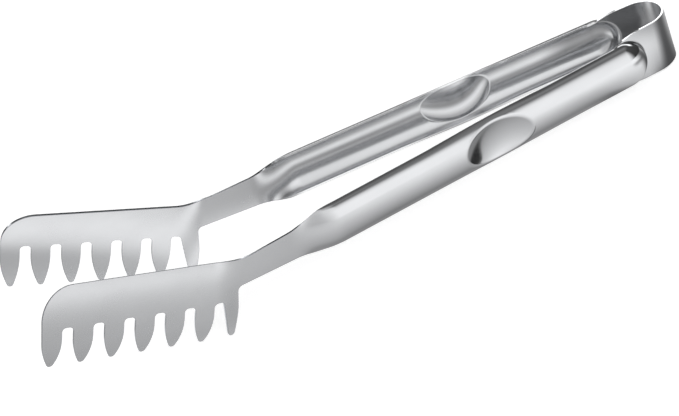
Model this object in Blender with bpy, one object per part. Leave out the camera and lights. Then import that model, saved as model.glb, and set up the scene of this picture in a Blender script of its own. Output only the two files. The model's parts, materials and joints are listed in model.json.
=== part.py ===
"""Spaghetti tongs: two mirrored arms pressed from stainless steel strip, joined by a spring bow.

Each arm starts as a flat blank: strip, handle, neck and toothed comb in one outline. The blank is
pressed over a half-round trough with a rounded, closed end, gets a thumb dimple and a crowned comb,
and is then thickened to sheet. The bow is the same strip bent round the axis on which the arms
close. Lengths are in metres. On an arm, "along" is the distance from the bow's axis towards the
comb, "across" runs up the width of the strip, and "out" points away from the other arm.
"""

import math

import bmesh
import bpy
from mathutils import Matrix, Vector
from mathutils.geometry import delaunay_2d_cdt

MM = 0.001

# Sheet, and the gap where an arm meets the bow
SHEET_THICKNESS = 1.0 * MM
SEAM_GAP = 0.3 * MM

# Bow: the plain strip bent a little deeper than half round, its tilted crown, and its spread legs
BOW_RADIUS = 10.0 * MM
BOW_EXTRA_DEPTH = 0.9 * MM
BOW_TILT = math.radians(3.0)
BOW_LEG_LENGTH = 2.6 * MM
STRIP_WIDTH = 22.4 * MM
OPENING_HALF_ANGLE = math.radians(3.9)

# Handle: a half-round trough, closed towards the bow by a rounded end with a small lip
TROUGH_WIDTH = 19.0 * MM
TROUGH_DEPTH = 6.2 * MM
TROUGH_LENGTH = 136.4 * MM
ROUND_END_CENTRE = 15.6 * MM
LIP_RADIUS = 0.8 * MM
FLARE_LENGTH = 14.0 * MM
FLARE_BEFORE_CENTRE = 9.6 * MM

# Thumb dimple, pressed in from outside
DIMPLE_DISTANCE = 61.4 * MM
DIMPLE_LENGTH = 30.0 * MM
DIMPLE_WIDTH = 16.8 * MM
DIMPLE_DEPTH = 5.0 * MM
DIMPLE_EDGE = 1.0 * MM
DIMPLE_BULGE = 0.6 * MM
DIMPLE_BULGE_POWER = 5

# Shoulder, where the trough fades out, and flat neck, up to which the arm twists outward
SHOULDER_LENGTH = 16.0 * MM
TROUGH_FADE_LEAD = 5.0 * MM
NECK_LENGTH = 20.8 * MM
NECK_LEAN = math.radians(3.7)
NECK_HALF_AT_SHOULDER = 6.3 * MM
NECK_UPPER_HALF_AT_COMB = 5.7 * MM
NECK_LOWER_HALF_AT_COMB = 5.2 * MM
NECK_UPPER_RADIUS = 34.0 * MM
NECK_LOWER_RADIUS = 2.2 * MM

# Comb, with its teeth pointing down and its face crowned outward
COMB_ANGLE = math.radians(23.0)
COMB_BODY_HEIGHT = 15.7 * MM
COMB_CORNER_RADIUS = 13.0 * MM
COMB_CROWN_RADIUS = 42.0 * MM
COMB_CROWN_RISE = 3.15 * MM
COMB_CROWN_BELOW_SLOTS = 2.3 * MM
COMB_SPLAY = math.radians(0.7)
COMB_BLEND_LENGTH = 12.0 * MM
COMB_BLEND_PAST_SLOT = 2.0 * MM
TOOTH_COUNT = 7
TOOTH_PITCH = 12.0 * MM
TOOTH_LENGTH = 16.7 * MM
TOOTH_STRAIGHT = 4.6 * MM
TOOTH_TIP_RADIUS = 1.4 * MM
LAST_TOOTH_SLOT_HALF = 4.8 * MM
LAST_TOOTH_OUTER_HALF = 2.1 * MM
LAST_TOOTH_FLARE = math.radians(6.0)
SLOT_WIDTH = 4.3 * MM
SLOT_CORNER_RADIUS = 1.6 * MM
SLOT_TO_NECK = 7.3 * MM

# How finely the surfaces are divided
TROUGH_ROWS = 8
BOW_STEPS = 36
SMOOTH_ANGLE = math.radians(40.0)
PLAIN_STEP = 11.0 * MM
FORMED_STEP = 2.6 * MM
COMB_STEP_ALONG = 6.0 * MM
COMB_STEP_ACROSS = 3.6 * MM
EDGE_MARGIN = 0.8 * MM

TROUGH_HALF = TROUGH_WIDTH / 2
LIP_ARC = LIP_RADIUS * math.pi / 2
ARM_STANDOFF = BOW_RADIUS + LIP_RADIUS
FLARE_START = ROUND_END_CENTRE - FLARE_BEFORE_CENTRE
FLARE_END = FLARE_START + FLARE_LENGTH
DIMPLE_CENTRE = ROUND_END_CENTRE + DIMPLE_DISTANCE
SHOULDER_START = ROUND_END_CENTRE + TROUGH_LENGTH
FADE_START = SHOULDER_START - TROUGH_FADE_LEAD
NECK_START = SHOULDER_START + SHOULDER_LENGTH
NECK_END = NECK_START + NECK_LENGTH
COMB_FORWARD = Vector((math.cos(COMB_ANGLE), math.sin(COMB_ANGLE)))
COMB_UP = Vector((-math.sin(COMB_ANGLE), math.cos(COMB_ANGLE)))


def mix(first, second, share):
    return first + (second - first) * share


def smooth(share):
    """An S-shaped rise from 0 to 1."""
    held = min(1.0, max(0.0, share))
    return held * held * (3 - 2 * held)


def steps(start, end, longest):
    """Values from start to end, at most one step apart, both ends included."""
    count = max(1, math.ceil(abs(end - start) / longest))
    return [mix(start, end, i / count) for i in range(count + 1)]


def quarter_ellipse_length(width, depth, pieces=90):
    turns = [math.pi / 2 * i / pieces for i in range(pieces + 1)]
    points = [Vector((width * math.sin(t), depth * math.cos(t))) for t in turns]
    return sum((b - a).length for a, b in zip(points, points[1:]))


TROUGH_BLANK_HALF = quarter_ellipse_length(TROUGH_HALF, TROUGH_DEPTH)


def neck_edge(along, half_at_comb):
    """How far from the middle line the neck's upper or lower edge lies."""
    return mix(NECK_HALF_AT_SHOULDER, half_at_comb, (along - NECK_START) / NECK_LENGTH)


def shoulder_share(along):
    return smooth((along - SHOULDER_START) / SHOULDER_LENGTH)


def blank_half(along):
    """Half the width of the flat blank along the handle and the shoulder."""
    return mix(TROUGH_BLANK_HALF, NECK_HALF_AT_SHOULDER, shoulder_share(along))


def pressed_half(along):
    """Half the width after pressing, without the swell beside the dimple."""
    return mix(TROUGH_HALF, NECK_HALF_AT_SHOULDER, shoulder_share(along))


def swell(along, share):
    """How far pressing the dimple has spread the sheet near the rims."""
    beside = 1 - smooth(abs(along - DIMPLE_CENTRE) / DIMPLE_LENGTH)
    return DIMPLE_BULGE * beside * share ** DIMPLE_BULGE_POWER


def fade(along):
    """From 0 in the trough to 1 where the neck is flat."""
    return smooth((along - FADE_START) / (NECK_START - FADE_START))


def lean(along, across):
    """How far the twist of the arm, which grows from the bow to the neck, moves a place outward."""
    return across * math.tan(NECK_LEAN) * min(1.0, along / NECK_START)


def wall_profile(along, reach):
    """Where sheet lies that is this far from the middle line of the blank: across, out."""
    blank = blank_half(along)
    half = pressed_half(along)
    depth = TROUGH_DEPTH * (1 - fade(along))
    share = reach / blank
    if share <= 1:
        turn = share * math.pi / 2
        across = half * mix(share, math.sin(turn), depth / TROUGH_DEPTH)
        return across + swell(along, share), depth * math.cos(turn)
    lip_turn = (reach - blank) / LIP_RADIUS
    if lip_turn < math.pi / 2:
        return half + LIP_RADIUS * (1 - math.cos(lip_turn)), -LIP_RADIUS * math.sin(lip_turn)
    return half + LIP_RADIUS + reach - blank - LIP_ARC, -LIP_RADIUS


def blank_reach(along, across):
    """How far from the middle line of the blank the sheet lies that is pressed to this place."""
    half = pressed_half(along)
    if across <= half:
        return blank_half(along) * math.asin(across / half) / (math.pi / 2)
    over = across - half
    if over < LIP_RADIUS:
        return blank_half(along) + LIP_RADIUS * math.acos(1 - over / LIP_RADIUS)
    return blank_half(along) + LIP_ARC + over - LIP_RADIUS


def on_blank(along, across):
    """The blank's point that is pressed to this place on the strip, the rounded end or the trough."""
    if along >= ROUND_END_CENTRE:
        return Vector((along, math.copysign(blank_reach(along, abs(across)), across)))
    radial = Vector((along - ROUND_END_CENTRE, across))
    reach = blank_reach(ROUND_END_CENTRE, radial.length)
    return Vector((ROUND_END_CENTRE, 0)) + radial.normalized() * reach


def dimpled(along, across, out):
    """The bowl of the dimple cut into the trough, with a softened edge."""
    forward = (along - DIMPLE_CENTRE) / (DIMPLE_LENGTH / 2)
    upward = across / (DIMPLE_WIDTH / 2)
    wall = min(0.98, DIMPLE_WIDTH / 2 / pressed_half(DIMPLE_CENTRE))
    wall_level = TROUGH_DEPTH * math.sqrt(1 - wall ** 2)
    bottom = TROUGH_DEPTH - DIMPLE_DEPTH
    bowl = bottom + DIMPLE_DEPTH * forward ** 2 + (wall_level - bottom) * upward ** 2
    end_slope = 4 * DIMPLE_DEPTH / DIMPLE_LENGTH
    trough_slope = (TROUGH_DEPTH ** 2 / wall_level) * wall ** 2 / (DIMPLE_WIDTH / 2)
    wall_slope = 4 * (wall_level - bottom) / DIMPLE_WIDTH + trough_slope
    from_centre = max(1e-6, math.hypot(forward, upward))
    softness = DIMPLE_EDGE * math.hypot(end_slope * forward, wall_slope * upward) / from_centre
    overlap = max(0.0, softness - abs(out - bowl))
    if overlap == 0:
        return min(out, bowl)
    return min(out, bowl) - overlap ** 2 / (4 * softness)


def comb_origin():
    """The middle of the slot nearest the neck, at its closed end."""
    neck_corner = Vector((NECK_END, NECK_UPPER_HALF_AT_COMB))
    return neck_corner + COMB_FORWARD * SLOT_TO_NECK - COMB_UP * COMB_BODY_HEIGHT


def from_comb(forward, up):
    return comb_origin() + COMB_FORWARD * forward + COMB_UP * up


def face_out(point):
    """How far the flat neck and the crowned, splayed comb stand out."""
    offset = point - comb_origin()
    forward = offset.dot(COMB_FORWARD)
    fall = (offset.dot(COMB_UP) + COMB_CROWN_BELOW_SLOTS) ** 2 / (2 * COMB_CROWN_RADIUS)
    comb_out = COMB_CROWN_RISE + forward * math.tan(COMB_SPLAY) - fall
    neck_out = SHEET_THICKNESS + lean(point.x, point.y)
    return mix(neck_out, comb_out, smooth((forward - COMB_BLEND_PAST_SLOT) / COMB_BLEND_LENGTH + 1))


def pressed(point):
    """Where pressing takes a point of the flat blank: along, across, out."""
    if point.x >= NECK_START:
        return Vector((point.x, point.y, face_out(point)))
    if point.x < ROUND_END_CENTRE:
        radial = point - Vector((ROUND_END_CENTRE, 0))
        radius, out = wall_profile(ROUND_END_CENTRE, radial.length)
        formed = Vector((ROUND_END_CENTRE, 0)) + radial.normalized() * radius
        return Vector((formed.x, formed.y, out + lean(formed.x, formed.y)))
    across, out = wall_profile(point.x, abs(point.y))
    signed = math.copysign(across, point.y)
    raised = dimpled(point.x, across, out) + SHEET_THICKNESS * fade(point.x)
    return Vector((point.x, signed, raised + lean(point.x, signed)))


def fillet(before, corner, after, radius, pieces):
    """Points of an arc in place of the corner between two straight edges."""
    to_before = (before - corner).normalized()
    to_after = (after - corner).normalized()
    half = to_before.angle(to_after) / 2
    room = 0.98 * min((before - corner).length, (after - corner).length)
    reach = min(radius / math.tan(half), room)
    centre = corner + (to_before + to_after).normalized() * (reach / math.cos(half))
    start = corner + to_before * reach - centre
    end = corner + to_after * reach - centre
    turn = math.copysign(math.pi - 2 * half, start.cross(end))
    return [centre + Matrix.Rotation(turn * i / pieces, 2) @ start for i in range(pieces + 1)]


def crossing(first, first_direction, second, second_direction):
    """Where two lines meet."""
    across = first_direction.cross(second_direction)
    return first + first_direction * ((second - first).cross(second_direction) / across)


def flare_edge(along):
    """The edge of the strip and of the flare that brings it down to the trough's rim."""
    flare = smooth((along - FLARE_START) / FLARE_LENGTH)
    return on_blank(along, mix(STRIP_WIDTH, TROUGH_WIDTH, flare) / 2)


def trough_stations():
    """Where the trough and shoulder are divided along: close together where their form changes."""
    dimple_reach = DIMPLE_LENGTH / 2 + DIMPLE_EDGE
    stops = [FLARE_END, DIMPLE_CENTRE - dimple_reach, DIMPLE_CENTRE + dimple_reach, FADE_START, NECK_START]
    stations = []
    for start, end, longest in zip(stops, stops[1:], [PLAIN_STEP, FORMED_STEP, PLAIN_STEP, FORMED_STEP]):
        stations += steps(start, end, longest)[:-1]
    return stations + [NECK_START]


def curved_side(half, tip_radius, pieces=4):
    """One side of a tooth from where it starts to narrow to its tip's arc, and its slope there."""
    drop = TOOTH_LENGTH - TOOTH_STRAIGHT - tip_radius
    radius = (drop ** 2 + half ** 2 - tip_radius ** 2) / (2 * (half - tip_radius))
    end = math.atan2(drop, radius - half)
    turns = [end * i / pieces for i in range(pieces + 1)]
    return [Vector((half - radius * (1 - math.cos(t)), -TOOTH_STRAIGHT - radius * math.sin(t))) for t in turns], end


def slanted_side(half, tip_radius):
    """The straight side that the last tooth has at its slot: where it meets the tip's arc, and its slope."""
    drop = TOOTH_LENGTH - SLOT_CORNER_RADIUS - tip_radius
    slope = math.acos(tip_radius / math.hypot(half, drop)) - math.atan2(drop, half)
    meeting = Vector((math.cos(slope), -math.sin(slope))) * tip_radius
    return [Vector((0, tip_radius - TOOTH_LENGTH)) + meeting], slope


def tooth(left_half, right_half, right_side, pieces=4):
    """A tooth's outline about its axis, from its right side round the tip to its left side."""
    tip_radius = min(TOOTH_TIP_RADIUS, 0.9 * left_half, 0.9 * right_half)
    right, right_end = right_side(right_half, tip_radius)
    left, left_end = curved_side(left_half, tip_radius)
    centre = Vector((0, tip_radius - TOOTH_LENGTH))
    turns = [mix(right_end, math.pi - left_end, i / pieces) for i in range(1, pieces)]
    tip = [centre + tip_radius * Vector((math.cos(t), -math.sin(t))) for t in turns]
    return right + tip + [Vector((-p.x, p.y)) for p in reversed(left)]


def slot_root(middle, pieces=3):
    """The closed end of a slot, from its right corner to its left corner."""
    radius = min(SLOT_CORNER_RADIUS, 0.48 * SLOT_WIDTH)
    straight = SLOT_WIDTH / 2 - radius
    turns = [math.pi / 2 * i / pieces for i in range(pieces + 1)]
    right = [Vector((straight + radius * math.cos(t), radius * (math.sin(t) - 1))) for t in turns]
    left = [Vector((-p.x, p.y)) for p in reversed(right)]
    return [Vector((middle, 0)) + p for p in right + left]


def last_tooth_axis():
    """Where the axis of the tooth nearest the neck lies, in the comb's own axes."""
    return -SLOT_WIDTH / 2 - LAST_TOOTH_SLOT_HALF


def teeth_outline():
    """Teeth and slots from the free end of the comb to the neck, in the comb's own axes."""
    half = (TOOTH_PITCH - SLOT_WIDTH) / 2
    points = []
    for number in range(TOOTH_COUNT - 1, 0, -1):
        axis = Vector((TOOTH_PITCH * (number - 0.5), 0))
        points += [axis + p for p in tooth(half, half, curved_side)]
        points += slot_root(TOOTH_PITCH * (number - 1))
    last = tooth(LAST_TOOTH_OUTER_HALF, LAST_TOOTH_SLOT_HALF, slanted_side)
    return points + [Vector((last_tooth_axis(), 0)) + p for p in last]


def comb_outline():
    """From the neck's upper edge round the comb and its teeth to the neck's lower edge."""
    free_end = TOOTH_PITCH * (TOOTH_COUNT - 1) - SLOT_WIDTH / 2
    neck_middle = mix(NECK_START, NECK_END, 0.5)
    neck_upper = Vector((neck_middle, neck_edge(neck_middle, NECK_UPPER_HALF_AT_COMB)))
    neck_lower = Vector((neck_middle, -neck_edge(neck_middle, NECK_LOWER_HALF_AT_COMB)))
    top_middle = from_comb(free_end / 2, COMB_BODY_HEIGHT)
    shoulder = fillet(neck_upper, from_comb(-SLOT_TO_NECK, COMB_BODY_HEIGHT), top_middle, NECK_UPPER_RADIUS, 6)
    free_corner = from_comb(free_end, COMB_BODY_HEIGHT)
    corner = fillet(top_middle, free_corner, from_comb(free_end, -TOOTH_STRAIGHT), COMB_CORNER_RADIUS, 9)
    top = [shoulder[-1].lerp(corner[0], share) for share in steps(0, 1, COMB_STEP_ALONG / free_end)[1:-1]]
    last_side = from_comb(last_tooth_axis() - LAST_TOOTH_OUTER_HALF, -TOOTH_STRAIGHT)
    lower_edge = Vector((NECK_END, -NECK_LOWER_HALF_AT_COMB)) - neck_lower
    flank = COMB_UP + COMB_FORWARD * math.tan(LAST_TOOTH_FLARE)
    under = crossing(last_side, flank, neck_lower, lower_edge)
    foot = fillet(last_side, under, neck_lower, NECK_LOWER_RADIUS, 4)
    return shoulder + top + corner + [from_comb(p.x, p.y) for p in teeth_outline()] + foot


def blank_outline():
    """The whole blank, from the seam along its upper edge to the comb and back below."""
    seam = BOW_LEG_LENGTH + SEAM_GAP
    upper = [flare_edge(along) for along in steps(seam, FLARE_END, FORMED_STEP)[:-1]]
    upper += [Vector((along, blank_half(along))) for along in trough_stations()]
    lower = [Vector((p.x, -p.y)) for p in reversed(upper)]
    half = STRIP_WIDTH / 2
    seam_edge = [on_blank(seam, across) for across in steps(-half, half, FORMED_STEP)[1:-1]]
    return upper + comb_outline() + lower + seam_edge


def trough_points():
    """Rows along the trough and shoulder, and rings round the closed end and its lip."""
    rows = [row / TROUGH_ROWS for row in range(-TROUGH_ROWS, TROUGH_ROWS + 1)]
    points = [Vector((along, blank_half(along) * row)) for along in trough_stations()[1:] for row in rows]
    lip = [TROUGH_BLANK_HALF + LIP_ARC * share for share in (0.33, 0.67, 1)]
    reaches = [TROUGH_BLANK_HALF * row for row in rows if row > 0] + lip
    for along in steps(ROUND_END_CENTRE, FLARE_END, FORMED_STEP):
        points += [Vector((along, side * reach)) for reach in reaches for side in (-1, 1)]
        points.append(Vector((along, 0)))
    for reach in reaches:
        count = max(3, math.ceil(math.pi * reach / FORMED_STEP))
        turns = [math.pi / 2 + math.pi * i / count for i in range(1, count)]
        points += [Vector((ROUND_END_CENTRE + reach * math.cos(t), reach * math.sin(t))) for t in turns]
    return points


def dimple_measure(point, spread=0.0):
    """Below 1 inside the dimple's outline, grown on all sides by the spread."""
    across, _ = wall_profile(point.x, abs(point.y))
    forward = (point.x - DIMPLE_CENTRE) / (DIMPLE_LENGTH / 2 + spread)
    return math.hypot(forward, across / (DIMPLE_WIDTH / 2 + spread))


def dimple_points():
    """Rings over the dimple, close together where its edge turns."""
    edge = [(1, DIMPLE_EDGE * share) for share in (-1, -0.33, 0.33, 1)]
    points = [Vector((DIMPLE_CENTRE, 0))]
    for scale, spread in [(0.3, 0), (0.56, 0), (0.78, 0)] + edge:
        length = scale * DIMPLE_LENGTH / 2 + spread
        width = scale * DIMPLE_WIDTH / 2 + spread
        count = 4 * math.ceil(math.pi * (length + width) / FORMED_STEP / 4)
        turns = [2 * math.pi * i / count for i in range(count)]
        points += [on_blank(DIMPLE_CENTRE + length * math.cos(t), width * math.sin(t)) for t in turns]
    return points


def comb_points():
    """A grid over the comb and the neck, in the comb's own axes."""
    free_end = TOOTH_PITCH * (TOOTH_COUNT - 1)
    start = COMB_BLEND_PAST_SLOT - COMB_BLEND_LENGTH
    points = []
    blend = steps(start, COMB_BLEND_PAST_SLOT, FORMED_STEP)
    for forward in blend[:-1] + steps(COMB_BLEND_PAST_SLOT, free_end, COMB_STEP_ALONG):
        for up in steps(-TOOTH_LENGTH, COMB_BODY_HEIGHT, COMB_STEP_ACROSS):
            points.append(from_comb(forward, up))
    return [p for p in points if p.x > NECK_START + EDGE_MARGIN]


def distance_to_edge(point, start, end):
    edge = end - start
    share = min(1.0, max(0.0, (point - start).dot(edge) / edge.length_squared))
    return (point - start - edge * share).length


def well_inside(point, outline):
    """Whether a point lies inside the outline and clear of its edges."""
    inside = False
    for start, end in zip(outline, outline[1:] + outline[:1]):
        if distance_to_edge(point, start, end) < EDGE_MARGIN:
            return False
        if (start.y > point.y) != (end.y > point.y):
            crossing_x = start.x + (end.x - start.x) * (point.y - start.y) / (end.y - start.y)
            inside ^= point.x < crossing_x
    return inside


def blank_points(outline):
    """Points between the edges, at which the pressed sheet can curve."""
    clearing = DIMPLE_EDGE + EDGE_MARGIN
    points = [p for p in trough_points() if dimple_measure(p, clearing) > 1]
    points += dimple_points() + comb_points()
    return [p for p in points if well_inside(p, outline)]


def arm_mesh(name, side):
    """The pressed face of one arm, with its outer side facing out; side is +1 towards +Y."""
    outline = blank_outline()
    loop = list(range(len(outline)))
    flat = delaunay_2d_cdt(outline + blank_points(outline), [], [loop], 1, 1e-7)
    cosine = math.cos(OPENING_HALF_ANGLE)
    sine = math.sin(OPENING_HALF_ANGLE)
    corners = []
    for blank in flat[0]:
        along, across, out = pressed(blank)
        off = ARM_STANDOFF + out
        corners.append((off * sine - along * cosine, side * (off * cosine + along * sine), across))
    faces = [list(face)[::side] for face in flat[2]]
    mesh = bpy.data.meshes.new(name)
    mesh.from_pydata(corners, [], faces)
    mesh.validate()
    return mesh


def bow_path(height):
    """One edge of the bow's outer face: a leg, the bend and the other leg."""
    extra = BOW_EXTRA_DEPTH - height * math.tan(BOW_TILT)
    end = math.pi / 2 - OPENING_HALF_ANGLE
    bend = []
    for turn in [mix(-end, end, i / BOW_STEPS) for i in range(BOW_STEPS + 1)]:
        reach = BOW_RADIUS + extra * math.cos(turn)
        bend.append(Vector((reach * math.cos(turn), BOW_RADIUS * math.sin(turn), height)))
    leg = Vector((-math.cos(OPENING_HALF_ANGLE), math.sin(OPENING_HALF_ANGLE), 0)) * BOW_LEG_LENGTH
    return [bend[0] + leg * Vector((1, -1, 1))] + bend + [bend[-1] + leg]


def bow_mesh(name):
    """The outer face of the bow, between its lower and its upper edge."""
    form = bmesh.new()
    edges = []
    for height in (-STRIP_WIDTH / 2, STRIP_WIDTH / 2):
        corners = [form.verts.new(p) for p in bow_path(height)]
        edges += [form.edges.new(pair) for pair in zip(corners, corners[1:])]
    bmesh.ops.bridge_loops(form, edges=edges)
    bmesh.ops.recalc_face_normals(form, faces=form.faces)
    if form.faces[0].normal.dot(form.faces[0].calc_center_median()) < 0:
        bmesh.ops.reverse_faces(form, faces=form.faces)
    mesh = bpy.data.meshes.new(name)
    form.to_mesh(mesh)
    form.free()
    return mesh


def steel(name, colour, roughness):
    material = bpy.data.materials.new(name)
    material.use_nodes = True
    shader = material.node_tree.nodes["Principled BSDF"]
    shader.inputs["Base Color"].default_value = (*colour, 1)
    shader.inputs["Metallic"].default_value = 1
    shader.inputs["Roughness"].default_value = roughness
    return material


def sheet_object(name, mesh, material, hinge):
    """A pressed face as an object on the hinge, thickened inward to sheet."""
    mesh.shade_smooth()
    mesh.set_sharp_from_angle(angle=SMOOTH_ANGLE)
    mesh.materials.append(material)
    piece = bpy.data.objects.new(name, mesh)
    bpy.context.collection.objects.link(piece)
    piece.parent = hinge
    sheet = piece.modifiers.new("Sheet", "SOLIDIFY")
    sheet.thickness = SHEET_THICKNESS
    sheet.offset = -1
    sheet.use_even_offset = True
    sheet.use_quality_normals = True
    return piece


def solid_corners(pieces):
    """Every corner of the finished solids, in world space."""
    bpy.context.view_layer.update()
    graph = bpy.context.evaluated_depsgraph_get()
    corners = []
    for piece in pieces:
        solid = piece.evaluated_get(graph)
        corners += [solid.matrix_world @ corner.co for corner in solid.data.vertices]
    return corners


def stand_on_floor(hinge, pieces):
    """Tilt the tongs on to the bow and the lowest teeth, and centre them over the origin."""
    crown = BOW_RADIUS + BOW_EXTRA_DEPTH
    heel = Vector((crown + STRIP_WIDTH / 2 * math.tan(BOW_TILT), 0, -STRIP_WIDTH / 2))
    below = [heel - corner for corner in solid_corners(pieces) if corner.z < heel.z]
    hinge.rotation_euler.y = max(math.atan2(drop.z, drop.x) for drop in below)
    corners = solid_corners(pieces)
    middle = [(min(c[i] for c in corners) + max(c[i] for c in corners)) / 2 for i in range(2)]
    hinge.location = (-middle[0], -middle[1], -min(c.z for c in corners))


def main():
    for leftover in list(bpy.data.objects):
        bpy.data.objects.remove(leftover)
    hinge = bpy.data.objects.new("bow_axis", None)
    bpy.context.collection.objects.link(hinge)
    polished = steel("polished_steel", (0.62, 0.62, 0.63), 0.16)
    pieces = []
    for name, side in (("left_arm", -1), ("right_arm", 1)):
        satin = steel(name + "_satin_steel", (0.60, 0.60, 0.61), 0.34)
        pieces.append(sheet_object(name, arm_mesh(name, side), satin, hinge))
    pieces.append(sheet_object("spring_bow", bow_mesh("spring_bow"), polished, hinge))
    stand_on_floor(hinge, pieces)


if __name__ == "__main__":
    main()
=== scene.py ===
"""Looks of the spaghetti tongs: one pressed, polished and satin-finished strip of stainless steel.

The tongs are one strip in two mirrored halves, an arm with its half of the bow each. A half is made
as it is in a press shop: a flat blank is cut out, its edges are rounded over, and it is pressed to
its form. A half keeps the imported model's sizes. Lengths are in metres. "Along" is the distance from
the axis of the bow towards the comb, "across" runs up the width of the strip, and "out" points away
from the other arm.
"""

import json
from functools import partial
from math import acos, asin, atan2, ceil, copysign, cos, hypot, pi, radians, sin, sqrt, tan

import bpy
import numpy as np
from bpy.props import FloatProperty, PointerProperty, StringProperty
from mathutils import Matrix, Vector
from mathutils.geometry import delaunay_2d_cdt


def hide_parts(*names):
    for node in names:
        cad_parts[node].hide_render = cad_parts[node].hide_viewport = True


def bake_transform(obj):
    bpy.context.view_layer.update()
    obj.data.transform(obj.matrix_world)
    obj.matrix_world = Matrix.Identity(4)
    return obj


bl_info = {
    "name": "Spaghetti Tongs",
    "version": (1, 0, 0),
    "blender": (4, 5, 0),
    "location": "View3D > Sidebar > Tongs",
    "description": "Builds the pressed steel tongs over their packed model, with their floor and light",
    "category": "Object",
}

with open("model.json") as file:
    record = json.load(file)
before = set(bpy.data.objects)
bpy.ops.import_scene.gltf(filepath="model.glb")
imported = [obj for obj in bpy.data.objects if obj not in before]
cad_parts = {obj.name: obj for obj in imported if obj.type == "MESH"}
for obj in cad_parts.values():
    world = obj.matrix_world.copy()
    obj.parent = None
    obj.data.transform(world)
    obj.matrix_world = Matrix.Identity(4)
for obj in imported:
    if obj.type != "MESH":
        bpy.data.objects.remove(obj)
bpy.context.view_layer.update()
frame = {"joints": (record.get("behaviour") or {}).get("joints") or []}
MM = 0.001
MM_PER_METRE = 1000.0

# The axis of the bow, on which both arms close
HINGE = frame["joints"][0]
HINGE_PLACE = Vector(HINGE["pos_m"])
HINGE_TILT = atan2(HINGE["axis"][0], HINGE["axis"][2])
TO_WORLD = Matrix.Translation(HINGE_PLACE) @ Matrix.Rotation(HINGE_TILT, 4, "Y")

# Bow
BOW_EXTRA_DEPTH = 0.9 * MM
BOW_TILT = radians(3.0)
OPENING_HALF_ANGLE = radians(3.9)

# Handle
TROUGH_LENGTH = 136.4 * MM
ROUND_END_CENTRE = 15.6 * MM
LIP_RADIUS = 0.8 * MM
FLARE_LENGTH = 14.0 * MM
FLARE_BEFORE_CENTRE = 9.6 * MM
DIMPLE_DISTANCE = 61.4 * MM
DIMPLE_BULGE = 0.6 * MM
DIMPLE_BULGE_POWER = 5

# Shoulder and neck
SHOULDER_LENGTH = 16.0 * MM
TROUGH_FADE_LEAD = 5.0 * MM
NECK_LENGTH = 20.8 * MM
NECK_LEAN = radians(3.7)
NECK_HALF_AT_SHOULDER = 6.3 * MM
NECK_UPPER_HALF_AT_COMB = 5.7 * MM
NECK_LOWER_HALF_AT_COMB = 5.2 * MM
NECK_UPPER_RADIUS = 34.0 * MM
NECK_LOWER_RADIUS = 2.2 * MM

# Comb
COMB_ANGLE = radians(23.0)
COMB_BODY_HEIGHT = 15.7 * MM
COMB_CORNER_RADIUS = 13.0 * MM
COMB_CROWN_RADIUS = 42.0 * MM
COMB_CROWN_RISE = 3.15 * MM
COMB_CROWN_BELOW_SLOTS = 2.3 * MM
COMB_SPLAY = radians(0.7)
COMB_BLEND_LENGTH = 12.0 * MM
COMB_BLEND_PAST_SLOT = 2.0 * MM
TOOTH_COUNT = 7
TOOTH_PITCH = 12.0 * MM
TOOTH_STRAIGHT = 4.6 * MM
TOOTH_TIP_RADIUS = 1.4 * MM
LAST_TOOTH_SLOT_HALF = 4.8 * MM
LAST_TOOTH_OUTER_HALF = 2.1 * MM
LAST_TOOTH_FLARE = radians(6.0)
SLOT_CORNER_RADIUS = 1.6 * MM
SLOT_TO_NECK = 7.3 * MM

SHOULDER_START = ROUND_END_CENTRE + TROUGH_LENGTH
FADE_START = SHOULDER_START - TROUGH_FADE_LEAD
NECK_START = SHOULDER_START + SHOULDER_LENGTH
NECK_END = NECK_START + NECK_LENGTH
DIMPLE_CENTRE = ROUND_END_CENTRE + DIMPLE_DISTANCE
FLARE_START = ROUND_END_CENTRE - FLARE_BEFORE_CENTRE
FLARE_END = FLARE_START + FLARE_LENGTH
COMB_FORWARD = Vector((cos(COMB_ANGLE), sin(COMB_ANGLE)))
COMB_UP = Vector((-sin(COMB_ANGLE), cos(COMB_ANGLE)))

# How finely the sheet is divided
TROUGH_ROWS = 18
PLAIN_STEP = 2.4 * MM
BEND_STEP = 0.7 * MM
STRIP_STEP = 1.4 * MM
COMB_STEP = 1.3 * MM
LIP_ROWS = 5
EDGE_TURNS = 4
EDGE_MARGIN = 0.35 * MM
NORMAL_STEP = 0.02 * MM

# Rings over the dimple: as shares of its size, and past its outline in widths of its turned edge
DIMPLE_RINGS = (0.07, 0.14, 0.21, 0.28, 0.35, 0.42, 0.49, 0.56, 0.63, 0.7, 0.77, 0.83)
DIMPLE_EDGE_RINGS = (-1.2, -0.9, -0.6, -0.3, 0, 0.3, 0.6, 0.9, 1.2)

# Shares that roundings and the dimple may fill at most, so that the form holds when a size changes
FILLET_LIMIT = 0.98
DIMPLE_LIMIT = 0.98
TOOTH_TIP_LIMIT = 0.9
SLOT_CORNER_LIMIT = 0.48

# For the tool that divides the blank into faces: keep the inside only, points nearer than this are
# one, and a point that has moved this far shows an outline that crosses itself
INSIDE_ONLY = 1
ONE_POINT = 1e-8
MOVED_POINT = 1e-7

# A length that is safe to divide by
LEAST_LENGTH = 1e-6


def mix(first, second, share):
    return first + (second - first) * share


def smooth(share):
    """An S-shaped rise from 0 to 1."""
    held = min(1.0, max(0.0, share))
    return held * held * (3 - 2 * held)


def steps(start, end, longest):
    """Values from start to end, at most one step apart, both ends included."""
    count = max(1, ceil(abs(end - start) / longest))
    return [mix(start, end, i / count) for i in range(count + 1)]


def quarter_ellipse_length(width, depth, pieces=90):
    turns = [pi / 2 * i / pieces for i in range(pieces + 1)]
    points = [Vector((width * sin(t), depth * cos(t))) for t in turns]
    return sum((b - a).length for a, b in zip(points, points[1:]))


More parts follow.
